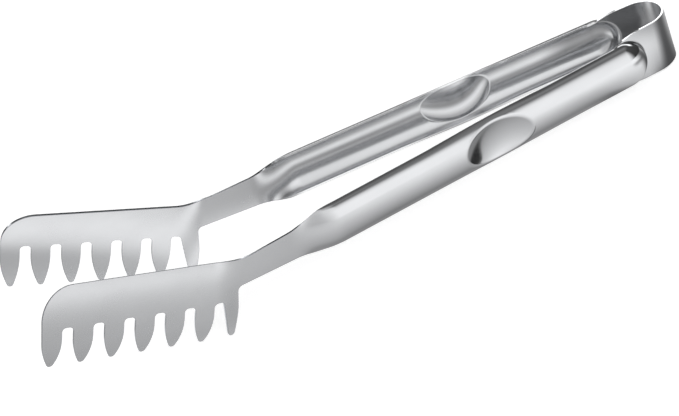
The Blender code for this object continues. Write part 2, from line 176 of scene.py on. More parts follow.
def fillet(before, corner, after, radius, pieces):
    """Points of an arc in place of the corner between two straight edges."""
    to_before = (before - corner).normalized()
    to_after = (after - corner).normalized()
    half = to_before.angle(to_after) / 2
    room = FILLET_LIMIT * min((before - corner).length, (after - corner).length)
    reach = min(radius / tan(half), room)
    centre = corner + (to_before + to_after).normalized() * (reach / cos(half))
    start = corner + to_before * reach - centre
    end = corner + to_after * reach - centre
    turn = copysign(pi - 2 * half, start.cross(end))
    return [centre + Matrix.Rotation(turn * i / pieces, 2) @ start for i in range(pieces + 1)]


def crossing(first, first_direction, second, second_direction):
    """Where two lines meet."""
    across = first_direction.cross(second_direction)
    return first + first_direction * ((second - first).cross(second_direction) / across)


def well_inside(points, outline, margin):
    """Those of the points that lie inside the outline and clear of its edges."""
    places = np.array([tuple(p) for p in points])
    starts = np.array([tuple(p) for p in outline])
    edges = np.roll(starts, -1, axis=0) - starts
    inside = np.zeros(len(places), bool)
    nearest = np.full(len(places), np.inf)
    for start, edge in zip(starts, edges):
        away = places - start
        share = np.clip(away @ edge / (edge @ edge), 0, 1)
        nearest = np.minimum(nearest, np.linalg.norm(away - share[:, None] * edge, axis=1))
        end = start + edge
        spans = (start[1] > places[:, 1]) != (end[1] > places[:, 1])
        rise = edge[1] if edge[1] else 1.0
        inside ^= spans & (places[:, 0] < start[0] + edge[0] * (places[:, 1] - start[1]) / rise)
    return [p for p, keep in zip(points, inside & (nearest > margin)) if keep]


class Blank:
    """The flat blank of one half of the tongs, and the forms that the press gives it."""

    def __init__(self, sizes):
        self.sizes = sizes
        self.trough_half = sizes.trough_width / 2
        self.trough_blank_half = quarter_ellipse_length(self.trough_half, sizes.trough_depth)
        self.lip_arc = LIP_RADIUS * pi / 2
        self.crown_along = -sizes.bow_radius * (pi / 2 - OPENING_HALF_ANGLE)
        self.last_tooth_axis = -sizes.slot_width / 2 - LAST_TOOTH_SLOT_HALF
        corner = Vector((NECK_END, NECK_UPPER_HALF_AT_COMB))
        self.comb_origin = corner + COMB_FORWARD * SLOT_TO_NECK - COMB_UP * COMB_BODY_HEIGHT

    def blank_half(self, along):
        """Half the width of the flat blank along the handle and the shoulder."""
        share = smooth((along - SHOULDER_START) / SHOULDER_LENGTH)
        return mix(self.trough_blank_half, NECK_HALF_AT_SHOULDER, share)

    def pressed_half(self, along):
        share = smooth((along - SHOULDER_START) / SHOULDER_LENGTH)
        return mix(self.trough_half, NECK_HALF_AT_SHOULDER, share)

    def fade(self, along):
        """From 0 in the trough to 1 where the neck is flat."""
        return smooth((along - FADE_START) / (NECK_START - FADE_START))

    def lean(self, along, across):
        """The outward twist of the arm, which grows from the bow to the neck."""
        return across * tan(NECK_LEAN) * min(1.0, max(0.0, along) / NECK_START)

    def wall_profile(self, along, reach):
        """Where sheet lies that is this far from the middle line of the blank: across, out."""
        blank = self.blank_half(along)
        half = self.pressed_half(along)
        full = self.sizes.trough_depth
        depth = full * (1 - self.fade(along))
        share = reach / blank
        beside = 1 - smooth(abs(along - DIMPLE_CENTRE) / self.sizes.dimple_length)
        swell = DIMPLE_BULGE * beside * min(share, 1.0) ** DIMPLE_BULGE_POWER
        if share <= 1:
            turn = share * pi / 2
            return half * mix(share, sin(turn), depth / full) + swell, depth * cos(turn)
        lip_turn = (reach - blank) / LIP_RADIUS
        if lip_turn < pi / 2:
            return half + swell + LIP_RADIUS * (1 - cos(lip_turn)), -LIP_RADIUS * sin(lip_turn)
        return half + swell + LIP_RADIUS + reach - blank - self.lip_arc, -LIP_RADIUS

    def blank_reach(self, along, across):
        """How far from the middle line of the blank the sheet lies that is pressed to this place."""
        half = self.pressed_half(along)
        if across <= half:
            return self.blank_half(along) * asin(across / half) / (pi / 2)
        over = across - half
        if over < LIP_RADIUS:
            return self.blank_half(along) + LIP_RADIUS * acos(1 - over / LIP_RADIUS)
        return self.blank_half(along) + self.lip_arc + over - LIP_RADIUS

    def on_blank(self, along, across):
        """The blank's point that is pressed to this place on the strip or the trough."""
        if along >= ROUND_END_CENTRE:
            return Vector((along, copysign(self.blank_reach(along, abs(across)), across)))
        radial = Vector((along - ROUND_END_CENTRE, across))
        reach = self.blank_reach(ROUND_END_CENTRE, radial.length)
        return Vector((ROUND_END_CENTRE, 0)) + radial.normalized() * reach

    def dimpled(self, along, across, out):
        """The bowl of the thumb dimple cut into the trough, with its pressed edge."""
        sizes = self.sizes
        forward = (along - DIMPLE_CENTRE) / (sizes.dimple_length / 2)
        upward = across / (sizes.dimple_width / 2)
        wall = min(DIMPLE_LIMIT, sizes.dimple_width / 2 / self.trough_half)
        wall_level = sizes.trough_depth * sqrt(1 - wall ** 2)
        bottom = sizes.trough_depth - sizes.dimple_depth
        bowl = bottom + sizes.dimple_depth * forward ** 2 + (wall_level - bottom) * upward ** 2
        end_slope = 4 * sizes.dimple_depth / sizes.dimple_length
        trough_slope = (sizes.trough_depth ** 2 / wall_level) * wall ** 2 / (sizes.dimple_width / 2)
        wall_slope = 4 * (wall_level - bottom) / sizes.dimple_width + trough_slope
        from_centre = max(LEAST_LENGTH, hypot(forward, upward))
        slope = hypot(end_slope * forward, wall_slope * upward) / from_centre
        softness = sizes.dimple_edge * slope
        overlap = max(0.0, softness - abs(out - bowl))
        if overlap == 0:
            return min(out, bowl)
        return min(out, bowl) - overlap ** 2 / (4 * softness)

    def from_comb(self, forward, up):
        return self.comb_origin + COMB_FORWARD * forward + COMB_UP * up

    def face_out(self, point):
        """How far the flat neck and the crowned, splayed comb stand out."""
        offset = point - self.comb_origin
        forward = offset.dot(COMB_FORWARD)
        fall = (offset.dot(COMB_UP) + COMB_CROWN_BELOW_SLOTS) ** 2 / (2 * COMB_CROWN_RADIUS)
        comb_out = COMB_CROWN_RISE + forward * tan(COMB_SPLAY) - fall
        neck_out = self.sizes.sheet_thickness + self.lean(point.x, point.y)
        share = smooth((forward - COMB_BLEND_PAST_SLOT) / COMB_BLEND_LENGTH + 1)
        return mix(neck_out, comb_out, share)

    def pressed(self, point):
        """Where pressing takes a point of the flat blank: along, across, out."""
        if point.x >= NECK_START:
            return point.x, point.y, self.face_out(point)
        if point.x < ROUND_END_CENTRE:
            radial = point - Vector((ROUND_END_CENTRE, 0))
            radius, out = self.wall_profile(ROUND_END_CENTRE, radial.length)
            formed = Vector((ROUND_END_CENTRE, 0)) + radial.normalized() * radius
            return formed.x, formed.y, out + self.lean(formed.x, formed.y)
        across, out = self.wall_profile(point.x, abs(point.y))
        signed = copysign(across, point.y)
        raised = self.dimpled(point.x, across, out) + self.sizes.sheet_thickness * self.fade(point.x)
        return point.x, signed, raised + self.lean(point.x, signed)

    def placed(self, point):
        """A point of the blank's outer face on the finished right half, about the bow's axis."""
        along, across, out = self.pressed(point)
        off = self.sizes.bow_radius + LIP_RADIUS + out
        sine = sin(OPENING_HALF_ANGLE)
        cosine = cos(OPENING_HALF_ANGLE)
        if along >= 0:
            return Vector((off * sine - along * cosine, off * cosine + along * sine, across))
        turn = pi / 2 - OPENING_HALF_ANGLE + along / self.sizes.bow_radius
        reach = off + (BOW_EXTRA_DEPTH - across * tan(BOW_TILT)) * cos(turn)
        return Vector((reach * cos(turn), off * sin(turn), across))

    def face_normal(self, point):
        """The outward direction of the outer face at a point of the blank."""
        slopes = []
        for step in (Vector((NORMAL_STEP, 0)), Vector((0, NORMAL_STEP))):
            slopes.append(self.placed(point + step) - self.placed(point - step))
        return slopes[0].cross(slopes[1]).normalized()

    def strip_edge(self, along):
        """The edge of the strip and of the flare that brings it down to the trough's rim."""
        flare = smooth((along - FLARE_START) / FLARE_LENGTH)
        return mix(self.sizes.strip_width, self.sizes.trough_width, flare) / 2

    def trough_stations(self):
        """Where the trough and shoulder are divided along: close together where the form changes."""
        reach = self.sizes.dimple_length / 2 + 2 * self.sizes.dimple_edge
        stops = [FLARE_END, DIMPLE_CENTRE - reach, DIMPLE_CENTRE + reach, FADE_START, NECK_START]
        stations = []
        for start, end, longest in zip(stops, stops[1:], [PLAIN_STEP, BEND_STEP] * 2):
            stations += steps(start, end, longest)[:-1]
        return stations + [NECK_START]

    def curved_side(self, half, tip_radius, pieces=10):
        """One side of a tooth from where it starts to narrow to its tip's arc, and its slope there."""
        drop = self.sizes.tooth_length - TOOTH_STRAIGHT - tip_radius
        radius = (drop ** 2 + half ** 2 - tip_radius ** 2) / (2 * (half - tip_radius))
        end = atan2(drop, radius - half)
        side = []
        for i in range(pieces + 1):
            turn = end * i / pieces
            aside = half - radius * (1 - cos(turn))
            side.append(Vector((aside, -TOOTH_STRAIGHT - radius * sin(turn))))
        return side, end

    def slanted_side(self, half, tip_radius, pieces=10):
        """The straight side that the last tooth has at its slot, and its slope."""
        top = Vector((half, -SLOT_CORNER_RADIUS))
        drop = self.sizes.tooth_length - SLOT_CORNER_RADIUS - tip_radius
        slope = acos(tip_radius / hypot(half, drop)) - atan2(drop, half)
        meeting = Vector((cos(slope), -sin(slope))) * tip_radius
        end = Vector((0, tip_radius - self.sizes.tooth_length)) + meeting
        return [top.lerp(end, i / pieces) for i in range(1, pieces + 1)], slope

    def tooth(self, left_half, right_half, right_side, pieces=10):
        """A tooth's outline about its axis, from its right side round the tip to its left side."""
        tip_radius = min(TOOTH_TIP_RADIUS, TOOTH_TIP_LIMIT * left_half, TOOTH_TIP_LIMIT * right_half)
        right, right_end = right_side(right_half, tip_radius)
        left, left_end = self.curved_side(left_half, tip_radius)
        centre = Vector((0, tip_radius - self.sizes.tooth_length))
        turns = [mix(right_end, pi - left_end, i / pieces) for i in range(1, pieces)]
        tip = [centre + tip_radius * Vector((cos(t), -sin(t))) for t in turns]
        return right + tip + [Vector((-p.x, p.y)) for p in reversed(left)]

    def slot_root(self, middle, pieces=7):
        """The closed end of a slot, from its right corner to its left corner."""
        radius = min(SLOT_CORNER_RADIUS, SLOT_CORNER_LIMIT * self.sizes.slot_width)
        straight = self.sizes.slot_width / 2 - radius
        turns = [pi / 2 * i / pieces for i in range(pieces + 1)]
        right = [Vector((straight + radius * cos(t), radius * (sin(t) - 1))) for t in turns]
        left = [Vector((-p.x, p.y)) for p in reversed(right)]
        return [Vector((middle, 0)) + p for p in right + left]

    def teeth_outline(self):
        """Teeth and slots from the free end of the comb to the neck, in the comb's own axes."""
        half = (TOOTH_PITCH - self.sizes.slot_width) / 2
        points = []
        for number in range(TOOTH_COUNT - 1, 0, -1):
            axis = Vector((TOOTH_PITCH * (number - 0.5), 0))
            points += [axis + p for p in self.tooth(half, half, self.curved_side)]
            points += self.slot_root(TOOTH_PITCH * (number - 1))
        last = self.tooth(LAST_TOOTH_OUTER_HALF, LAST_TOOTH_SLOT_HALF, self.slanted_side)
        return points + [Vector((self.last_tooth_axis, 0)) + p for p in last]

    def comb_outline(self):
        """From the neck's upper edge round the comb and its teeth to the neck's lower edge."""
        free_end = TOOTH_PITCH * (TOOTH_COUNT - 1) - self.sizes.slot_width / 2
        middle = mix(NECK_START, NECK_END, 0.5)
        neck_upper = Vector((middle, mix(NECK_HALF_AT_SHOULDER, NECK_UPPER_HALF_AT_COMB, 0.5)))
        neck_lower = Vector((middle, -mix(NECK_HALF_AT_SHOULDER, NECK_LOWER_HALF_AT_COMB, 0.5)))
        top_middle = self.from_comb(free_end / 2, COMB_BODY_HEIGHT)
        neck_corner = self.from_comb(-SLOT_TO_NECK, COMB_BODY_HEIGHT)
        shoulder = fillet(neck_upper, neck_corner, top_middle, NECK_UPPER_RADIUS, pieces=20)
        free_corner = self.from_comb(free_end, COMB_BODY_HEIGHT)
        free_side = self.from_comb(free_end, -TOOTH_STRAIGHT)
        corner = fillet(top_middle, free_corner, free_side, COMB_CORNER_RADIUS, pieces=24)
        top = [shoulder[-1].lerp(corner[0], share) for share in steps(0, 1, COMB_STEP / free_end)[1:-1]]
        last_side = self.from_comb(self.last_tooth_axis - LAST_TOOTH_OUTER_HALF, -TOOTH_STRAIGHT)
        lower_edge = Vector((NECK_END, -NECK_LOWER_HALF_AT_COMB)) - neck_lower
        flank = COMB_UP + COMB_FORWARD * tan(LAST_TOOTH_FLARE)
        under = crossing(last_side, flank, neck_lower, lower_edge)
        foot = fillet(last_side, under, neck_lower, NECK_LOWER_RADIUS, pieces=10)
        teeth = [self.from_comb(p.x, p.y) for p in self.teeth_outline()]
        return shoulder + top + corner + teeth + foot

    def edge_pairs(self):
        """The blank's edge from crown to crown, each point with its partner one rounding inside."""
        rounding = self.sizes.edge_round
        half = self.sizes.strip_width / 2
        straight = []
        for along in steps(self.crown_along, FLARE_START, BEND_STEP)[:-1]:
            straight.append((self.on_blank(along, half), self.on_blank(along, half - rounding)))
        flare = steps(FLARE_START, FLARE_END, BEND_STEP)[:-1]
        upper = [self.on_blank(along, self.strip_edge(along)) for along in flare]
        upper += [Vector((along, self.blank_half(along))) for along in self.trough_stations()]
        lower = [Vector((p.x, -p.y)) for p in reversed(upper)]
        free = upper + self.comb_outline() + lower
        ends = [straight[-1][0]] + free + [Vector((straight[-1][0].x, -straight[-1][0].y))]
        pairs = []
        for before, point, after in zip(ends, free, ends[2:]):
            run = (after - point).normalized() + (point - before).normalized()
            inward = Vector((run.y, -run.x)).normalized()
            pairs.append((point, point + inward * rounding))
        mirrored = [(Vector((p.x, -p.y)), Vector((q.x, -q.y))) for p, q in reversed(straight)]
        return straight + pairs + mirrored

    def trough_points(self):
        """Rows along the trough and shoulder, and rings round the closed end and its lip."""
        rows = [row / TROUGH_ROWS for row in range(-TROUGH_ROWS, TROUGH_ROWS + 1)]
        stations = self.trough_stations()[1:]
        points = [Vector((a, self.blank_half(a) * row)) for a in stations for row in rows]
        lip_rows = [row / LIP_ROWS for row in range(1, LIP_ROWS + 1)]
        lip = [self.trough_blank_half + self.lip_arc * row for row in lip_rows]
        reaches = [self.trough_blank_half * row for row in rows if row > 0] + lip
        for along in steps(ROUND_END_CENTRE, FLARE_END, BEND_STEP):
            points += [Vector((along, side * reach)) for reach in reaches for side in (-1, 1)]
            points.append(Vector((along, 0)))
        for reach in reaches:
            count = max(4, ceil(pi * reach / BEND_STEP))
            turns = [pi / 2 + pi * i / count for i in range(1, count)]
            points += [Vector((ROUND_END_CENTRE + reach * cos(t), reach * sin(t))) for t in turns]
        return points

    def strip_points(self):
        """A grid over the bow and the flat of the strip, up to the lip round the closed end."""
        half = self.sizes.strip_width / 2 - self.sizes.edge_round
        foot = self.trough_half + LIP_RADIUS
        points = []
        for along in steps(self.crown_along, FLARE_END, BEND_STEP)[1:]:
            for across in steps(-half, half, STRIP_STEP):
                from_end = hypot(min(0.0, along - ROUND_END_CENTRE), across)
                if from_end > foot + BEND_STEP / 2:
                    points.append(self.on_blank(along, across))
        return points

    def dimple_measure(self, point, spread=0.0):
        """Below 1 inside the dimple's outline, grown on all sides by the spread."""
        across, _ = self.wall_profile(point.x, abs(point.y))
        forward = (point.x - DIMPLE_CENTRE) / (self.sizes.dimple_length / 2 + spread)
        return hypot(forward, across / (self.sizes.dimple_width / 2 + spread))

    def dimple_points(self):
        """Rings over the dimple, close together where its edge turns."""
        rings = [(scale, 0) for scale in DIMPLE_RINGS]
        rings += [(1, self.sizes.dimple_edge * widths) for widths in DIMPLE_EDGE_RINGS]
        points = [Vector((DIMPLE_CENTRE, 0))]
        for scale, spread in rings:
            length = scale * self.sizes.dimple_length / 2 + spread
            width = scale * self.sizes.dimple_width / 2 + spread
            count = 4 * ceil(pi * (length + width) / BEND_STEP / 4)
            for i in range(count):
                turn = 2 * pi * i / count
                along = DIMPLE_CENTRE + length * cos(turn)
                points.append(self.on_blank(along, width * sin(turn)))
        return points

    def comb_points(self):
        """A grid over the comb and the neck, in the comb's own axes."""
        start = COMB_BLEND_PAST_SLOT - COMB_BLEND_LENGTH - NECK_LENGTH
        points = []
        for forward in steps(start, TOOTH_PITCH * TOOTH_COUNT, COMB_STEP):
            for up in steps(-self.sizes.tooth_length, COMB_BODY_HEIGHT + NECK_LENGTH / 2, COMB_STEP):
                points.append(self.from_comb(forward, up))
        return [p for p in points if p.x > NECK_START + EDGE_MARGIN]

    def inner_points(self, outline):
        """Points between the edges, at which the sheet is divided."""
        clearing = DIMPLE_EDGE_RINGS[-1] * self.sizes.dimple_edge + EDGE_MARGIN
        points = [p for p in self.trough_points() if self.dimple_measure(p, clearing) > 1]
        points += self.dimple_points() + self.comb_points() + self.strip_points()
        return well_inside(points, outline, EDGE_MARGIN)


class Sheet:
    """Corners, normals, finish and faces of one finished half, about the bow's axis, towards +Y."""

    def __init__(self, sizes):
        blank = Blank(sizes)
        self.blank = blank
        self.corners = []
        self.normals = []
        self.alongs = []
        self.faces = []
        self.edge_faces = 0
        pairs = blank.edge_pairs()
        half = sizes.strip_width / 2 - sizes.edge_round
        crown = steps(-half, half, STRIP_STEP)[1:-1]
        outline = [inner for _, inner in pairs]
        outline += [blank.on_blank(blank.crown_along, across) for across in crown]
        loop = list(range(len(outline)))
        points = outline + blank.inner_points(outline)
        flat = delaunay_2d_cdt(points, [], [loop], INSIDE_ONLY, ONE_POINT)
        lost = len(flat[0]) < len(outline)
        if lost or any((flat[0][i] - outline[i]).length > MOVED_POINT for i in loop):
            raise RuntimeError("the blank's outline crosses itself, so it can't be divided")
        outside = self.add_face(flat, 0.0, 1)
        inside = self.add_face(flat, sizes.sheet_thickness, -1)
        self.add_edge(pairs, outside, inside)

    def add(self, place, normal, along):
        self.corners.append(place)
        self.normals.append(normal)
        self.alongs.append(along)
        return len(self.corners) - 1

    def add_face(self, flat, depth, facing):
        """One face of the sheet, this deep below its outer face."""
        first = len(self.corners)
        for point in flat[0]:
            normal = self.blank.face_normal(point)
            place = self.blank.placed(point) - normal * depth
            self.add(place, normal * facing, self.blank.pressed(point)[0])
        self.faces += [[first + i for i in face[::facing]] for face in flat[2]]
        return first

    def add_edge(self, pairs, outside, inside):
        """The rounded-over edge, from the outer face round to the inner face."""
        sizes = self.blank.sizes
        turns = [pi / 2 * i / EDGE_TURNS for i in range(1, EDGE_TURNS + 1)]
        sections = [(sin(t), sizes.edge_round * (1 - cos(t)), cos(t)) for t in turns]
        sections += [(s, sizes.sheet_thickness - depth, -level) for s, depth, level in reversed(sections)]
        before = None
        first_edge_face = len(self.faces)
        for number, (edge, inner) in enumerate(pairs):
            ring = [outside + number]
            tip = self.blank.placed(edge)
            for share, depth, level in sections:
                point = inner.lerp(edge, share)
                normal = self.blank.face_normal(point)
                outward = (tip - self.blank.placed(inner)).normalized()
                place = self.blank.placed(point) - normal * depth
                facing = normal * level + outward * sqrt(1 - level ** 2)
                ring.append(self.add(place, facing.normalized(), self.blank.pressed(point)[0]))
            ring.append(inside + number)
            if before:
                for a, b, c, d in zip(before, before[1:], ring[1:], ring):
                    self.faces.append([a, d, c, b])
            before = ring
        self.edge_faces = len(self.faces) - first_edge_face

    def mesh(self, name, side):
        """The half as a mesh in world space; side is +1 towards +Y and -1 for its mirror image."""
        mirror = Matrix.Diagonal((1, side, 1, 1))
        place = TO_WORLD @ mirror
        turn = place.to_3x3()
        mesh = bpy.data.meshes.new(name)
        faces = [face[::side] for face in self.faces]
        mesh.from_pydata([place @ corner for corner in self.corners], [], faces)
        mesh.shade_smooth()
        mesh.normals_split_custom_set_from_vertices([turn @ normal for normal in self.normals])
        along = mesh.attributes.new("along_mm", "FLOAT", "POINT")
        along.data.foreach_set("value", np.array(self.alongs, np.float32) * MM_PER_METRE)
        one_side = (len(faces) - self.edge_faces) // 2
        materials = [0] * one_side + [1] * one_side + [2] * self.edge_faces
        mesh.polygons.foreach_set("material_index", materials)
        mesh.update()
        return mesh


def linear(hex_colour):
    """An sRGB hex colour as linear red, green, blue and alpha, by the formula of the standard."""
    levels = [int(hex_colour[i:i + 2], 16) / 255 for i in (1, 3, 5)]
    return [v / 12.92 if v <= 0.04045 else ((v + 0.055) / 1.055) ** 2.4 for v in levels] + [1.0]


def add_node(tree, kind, inputs=(), **settings):
    """A shader node with its settings, and with its inputs by name or, in a list, by their order.

    A kind in capitals is an operation of the math node. An input is a number, a colour, an output of
    a node, or a node, whose first output is meant.
    """
    if kind.isupper():
        settings["operation"] = kind
        kind = "Math"
    node = tree.nodes.new("ShaderNode" + kind)
    for name, value in settings.items():
        setattr(node, name, value)
    if isinstance(inputs, dict):
        filled = [(node.inputs[name], value) for name, value in inputs.items()]
    else:
        filled = zip([socket for socket in node.inputs if socket.enabled], inputs)
    for socket, value in filled:
        if isinstance(value, bpy.types.Node):
            value = next(output for output in value.outputs if output.enabled)
        if isinstance(value, bpy.types.NodeSocket):
            tree.links.new(value, socket)
        else:
            socket.default_value = value
    return node


# The setting of a map range node that rises softly from 0 to 1 between two values
SOFT_RISE = {"interpolation_type": "SMOOTHSTEP"}

# Where the polished handle turns into the blasted neck, in millimetres along the strip
SATIN_CHANGE = (146.0, 170.0)

# Patterns in the steel: how long their patches are along x, y and z in millimetres, and their detail.
# Buffing leaves fine lines along the strip. Real ones are 0.05 mm wide, and these are drawn 0.8 mm
# wide to show. Blasting leaves pits. Real ones are 0.1 mm wide, and these are drawn 0.7 mm wide.
LINES = ((24.0, 0.8, 0.8), 2.0)
PITS = ((0.7, 0.7, 0.7), 3.0)
# Fingers and cloths leave faint patches, about 14 mm wide, that shine a little less
SMEARS = ((14.0, 9.0, 9.0), 2.0)
# Blanking leaves short marks across the thickness, about 0.6 mm apart
MARKS = ((0.6, 2.0, 0.6), 2.0)
PATTERN_MIDDLE = 0.5
RELIEF_OF_LINES = 0.04
RELIEF_OF_PITS = 0.06
RELIEF_DEPTH = 0.02 * MM


def empty_material(name):
    """A material without nodes, and the function that adds a node to it."""
    material = bpy.data.materials.new(name)
    material.use_nodes = True
    material.node_tree.nodes.clear()
    return material, partial(add_node, material.node_tree)


def pattern(node, lengths_mm, detail):
    """Soft random shades about their middle, with patches of these lengths along x, y and z."""
    place = node("TexCoord")
    scale = [1 / (length * MM) for length in lengths_mm]
    stretched = node("Mapping", {"Vector": place.outputs["Object"], "Scale": scale})
    return node("TexNoise", {"Vector": stretched, "Scale": 1.0, "Detail": detail})


def varied(node, value, shades, change):
    """A value that differs a little from place to place, as the shades of a pattern do."""
    difference = node("SUBTRACT", (shades, PATTERN_MIDDLE))
    return node("MULTIPLY_ADD", (difference, change, value))


def satin_share(node):
    """0 on the polished handle and bow, 1 on the blasted neck and comb."""
    along = node("Attribute", attribute_name="along_mm")
    return node("MapRange", (along.outputs["Fac"], *SATIN_CHANGE), **SOFT_RISE)


def finish_steel(node, share, colours, inputs):
    """Bare metal whose colour changes with the share from the first of two colours to the second."""
    colour = node("Mix", (share, *[linear(colour) for colour in colours]), data_type="RGBA")
    shader = node("BsdfPrincipled", {"Base Color": colour, "Metallic": 1.0, **inputs})
    node("OutputMaterial", (shader,))


def steel_material(name, polished_roughness, finish):
    """Stainless steel strip: buffed on handle and bow, where it mirrors the room in soft bands, and
    blasted with glass beads on neck and comb, where it shines an even grey."""
    material, node = empty_material(name)
    satin = satin_share(node)
    smears = pattern(node, *SMEARS)
    fine = node("Mix", (satin, pattern(node, *LINES), pattern(node, *PITS)))
    plain = node("Mix", (satin, polished_roughness, finish.satin_roughness))
    lined = varied(node, plain, fine, finish.fine_variation)
    roughness = varied(node, lined, smears, finish.smear_variation)
    strength = node("Mix", (satin, RELIEF_OF_LINES, RELIEF_OF_PITS))
    relief = node("Bump", {"Height": fine, "Strength": strength, "Distance": RELIEF_DEPTH})
    colours = (finish.steel_colour, finish.smeared_colour)
    finish_steel(node, smears, colours, {"Roughness": roughness, "Normal": relief})
    return material


def edge_material(finish):
    """The strip's cut edge: tumbled to a bright line on handle and bow, and blasted grey on the comb."""
    material, node = empty_material("stainless_steel_tumbled_edge")
    roughness = varied(node, finish.edge_roughness, pattern(node, *MARKS), finish.marks_variation)
    colours = (finish.edge_colour, finish.blasted_edge_colour)
    finish_steel(node, satin_share(node), colours, {"Roughness": roughness})
    return material


def size_property(name, description, default):
    return FloatProperty(name=name, description=description, default=default, unit="LENGTH")


def share_property(name, description, default):
    return FloatProperty(name=name, description=description, default=default, subtype="FACTOR")


def colour_property(name, coloured, default):
    return StringProperty(name=name, description="sRGB colour of " + coloured, default=default)


class TongsSizes(bpy.types.PropertyGroup):
    """Sizes of the pressed sheet."""

    sheet_thickness: size_property("Sheet", "Thickness of the steel", 1.0 * MM)
    edge_round: size_property("Edge rounding", "Radius of the rounded cut edge", 0.18 * MM)
    bow_radius: size_property("Bow radius", "Outer radius of the spring bow", 10.0 * MM)
    strip_width: size_property("Strip width", "Width of the strip at the bow", 22.4 * MM)
    trough_width: size_property("Handle width", "Width of the half-round handle", 19.0 * MM)
    trough_depth: size_property("Handle depth", "Depth of the half-round handle", 6.2 * MM)
    dimple_length: size_property("Dimple length", "Length of the thumb dimple", 30.0 * MM)
    dimple_width: size_property("Dimple width", "Width of the thumb dimple", 16.8 * MM)
    dimple_depth: size_property("Dimple depth", "Depth of the thumb dimple", 5.0 * MM)
    dimple_edge: size_property("Dimple edge", "Half the width of the dimple's turned edge", 0.7 * MM)
    tooth_length: size_property("Tooth length", "Length of a tooth below its slot", 16.7 * MM)
    slot_width: size_property("Slot width", "Width of a slot at its closed end", 4.3 * MM)


class TongsFinish(bpy.types.PropertyGroup):
    """Colours and roughness of the steel."""

    steel_colour: colour_property("Steel", "the steel", "#d2d3d5")
    edge_colour: colour_property("Edge", "the rounded edge", "#eeeff0")
    blasted_edge_colour: colour_property("Blasted edge", "the edge round the comb", "#b2b4b8")
    smeared_colour: colour_property("Smeared steel", "the steel where it was touched", "#cbccce")
    polished_roughness: share_property("Polished", "Roughness outside on handle and bow", 0.11)
    inner_roughness: share_property("Inside", "Roughness inside on handle and bow", 0.21)
    satin_roughness: share_property("Satin", "Roughness of neck and comb", 0.26)
    fine_variation: share_property("Fine variation", "How much lines and pits change the roughness", 0.05)
    smear_variation: share_property("Smears", "How much smears change the roughness", 0.06)
    edge_roughness: share_property("Edge", "Roughness of the rounded edge", 0.16)
    marks_variation: share_property("Edge marks", "How much marks change the edge's roughness", 0.1)


class TongsStage(bpy.types.PropertyGroup):
    """Floor and light."""

    floor_colour: colour_property("Floor", "the floor", "#f2f2f2")
    floor_size: size_property("Floor size", "Side of the square floor", 6.0)
    floor_lift: share_property("Floor lift", "Brightness added to the floor so that it shows white", 0.65)


class TONGS_OT_arms(bpy.types.Operator):
    """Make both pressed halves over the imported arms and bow"""

    bl_idname = "tongs.arms"
    bl_label = "Pressed arms and bow"

    def execute(self, context):
        sizes = context.scene.tongs_sizes
        finish = context.scene.tongs_finish
        sheet = Sheet(sizes)
        outside = steel_material("stainless_steel_buffed_and_blasted", finish.polished_roughness, finish)
        inside = steel_material("stainless_steel_lightly_buffed_and_blasted", finish.inner_roughness, finish)
        edge = edge_material(finish)
        for body, side in (("left", -1), ("right", 1)):
            mesh = sheet.mesh(body + "_half", side)
            for material in (outside, inside, edge):
                mesh.materials.append(material)
            half = bpy.data.objects.new(body + "_arm_with_half_bow", mesh)
            context.scene.collection.objects.link(half)
            # The strip follows the bow at its crown, and the arm from 2.75 mm past the bow's axis
            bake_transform(half)
            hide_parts(body + "_arm", "spring_bow")
        return {"FINISHED"}


# The camera, about the bow's axis: where it stands, and which way it looks and holds its top edge.
# Its focal length is in pixels of the photograph.
CAMERA_PLACE = Vector((-267.42, -662.79, 449.72)) * MM
CAMERA_RIGHT = Vector((0.88764, -0.36533, -0.28040))
CAMERA_FORWARD = Vector((0.15642, 0.81182, -0.56257))
CAMERA_FOCAL_PIXELS = 2086.27
PHOTO_WIDTH_PIXELS = 679
SENSOR_WIDTH = 36.0
CAMERA_NEAREST = 10.0 * MM

# The sides of the studio: how bright each is at degrees above the horizon
GREY_WALL = ((0, 0.66), (45, 0.68), (90, 0.8))
BRIGHT_WALL = ((0, 1.33), (35, 1.33), (55, 1.15), (75, 1.0), (90, 0.85))
FLAG = ((0, 0.05), (50, 0.09), (58, 0.2), (66, 0.28), (73, 0.2), (79, 0.55), (85, 0.9))
BACK_WALL = (
    (0, 0.12), (22, 0.15), (27, 1.0), (30, 2.6), (36, 2.0), (42, 0.2), (52, 0.1), (64, 0.14), (73, 0.2),
    (79, 0.5), (85, 0.9))

# The turn from one side to the next, in degrees to the right of straight in front of the left arm
STUDIO_TURNS = (
    (-106, -92, FLAG),
    (-76, -62, GREY_WALL),
    (-26, 22, BRIGHT_WALL),
    (24, 52, FLAG),
    (98, 116, BACK_WALL),
)
WHITE = (1, 1, 1, 1)

# Painted light and painted shade on the floor, which only the steel sees as the floor's glow: how bright
# the floor looks in the steel, with places in millimetres from the floor's middle. Between the arms a
# painted bright strip runs along it, wider towards the combs and painted dim under the bow.
STRIP_LEVEL = 0.95
STRIP_SURROUND = 0.35
STRIP_REACH = 9.0
STRIP_WIDENS_BEFORE = -20.0
STRIP_REACH_PER_MM = -0.3
STRIP_AT_BOW = 0.42
STRIP_CHANGE = (92.0, 108.0)

# The arms' feet: half the way between them, which narrows towards the bow and faster round it
FOOT_HALF_AT_MIDDLE = 25.0
FOOT_HALF_PER_MM = -0.06
BOW_START = 105.0
BOW_HALF_PER_MM = -0.6
FOOT_SOFTNESS = 6.0

# Outside the feet the floor has painted shade near them, and painted light that brightens from the
# combs to the bow
FAR_LEVEL = 1.07
SIDEWAYS_MIDDLE = 0.95
SIDEWAYS_SHARE = 0.6
SIDEWAYS_REACH = 200.0
SHADE = 0.75
COMB_SHADE = 0.2
BOW_SHADE = 0.55
COMB_SHADE_CHANGE = (-70.0, 10.0)
BOW_SHADE_CHANGE = (95.0, 125.0)
SHADE_REACH = 25.0
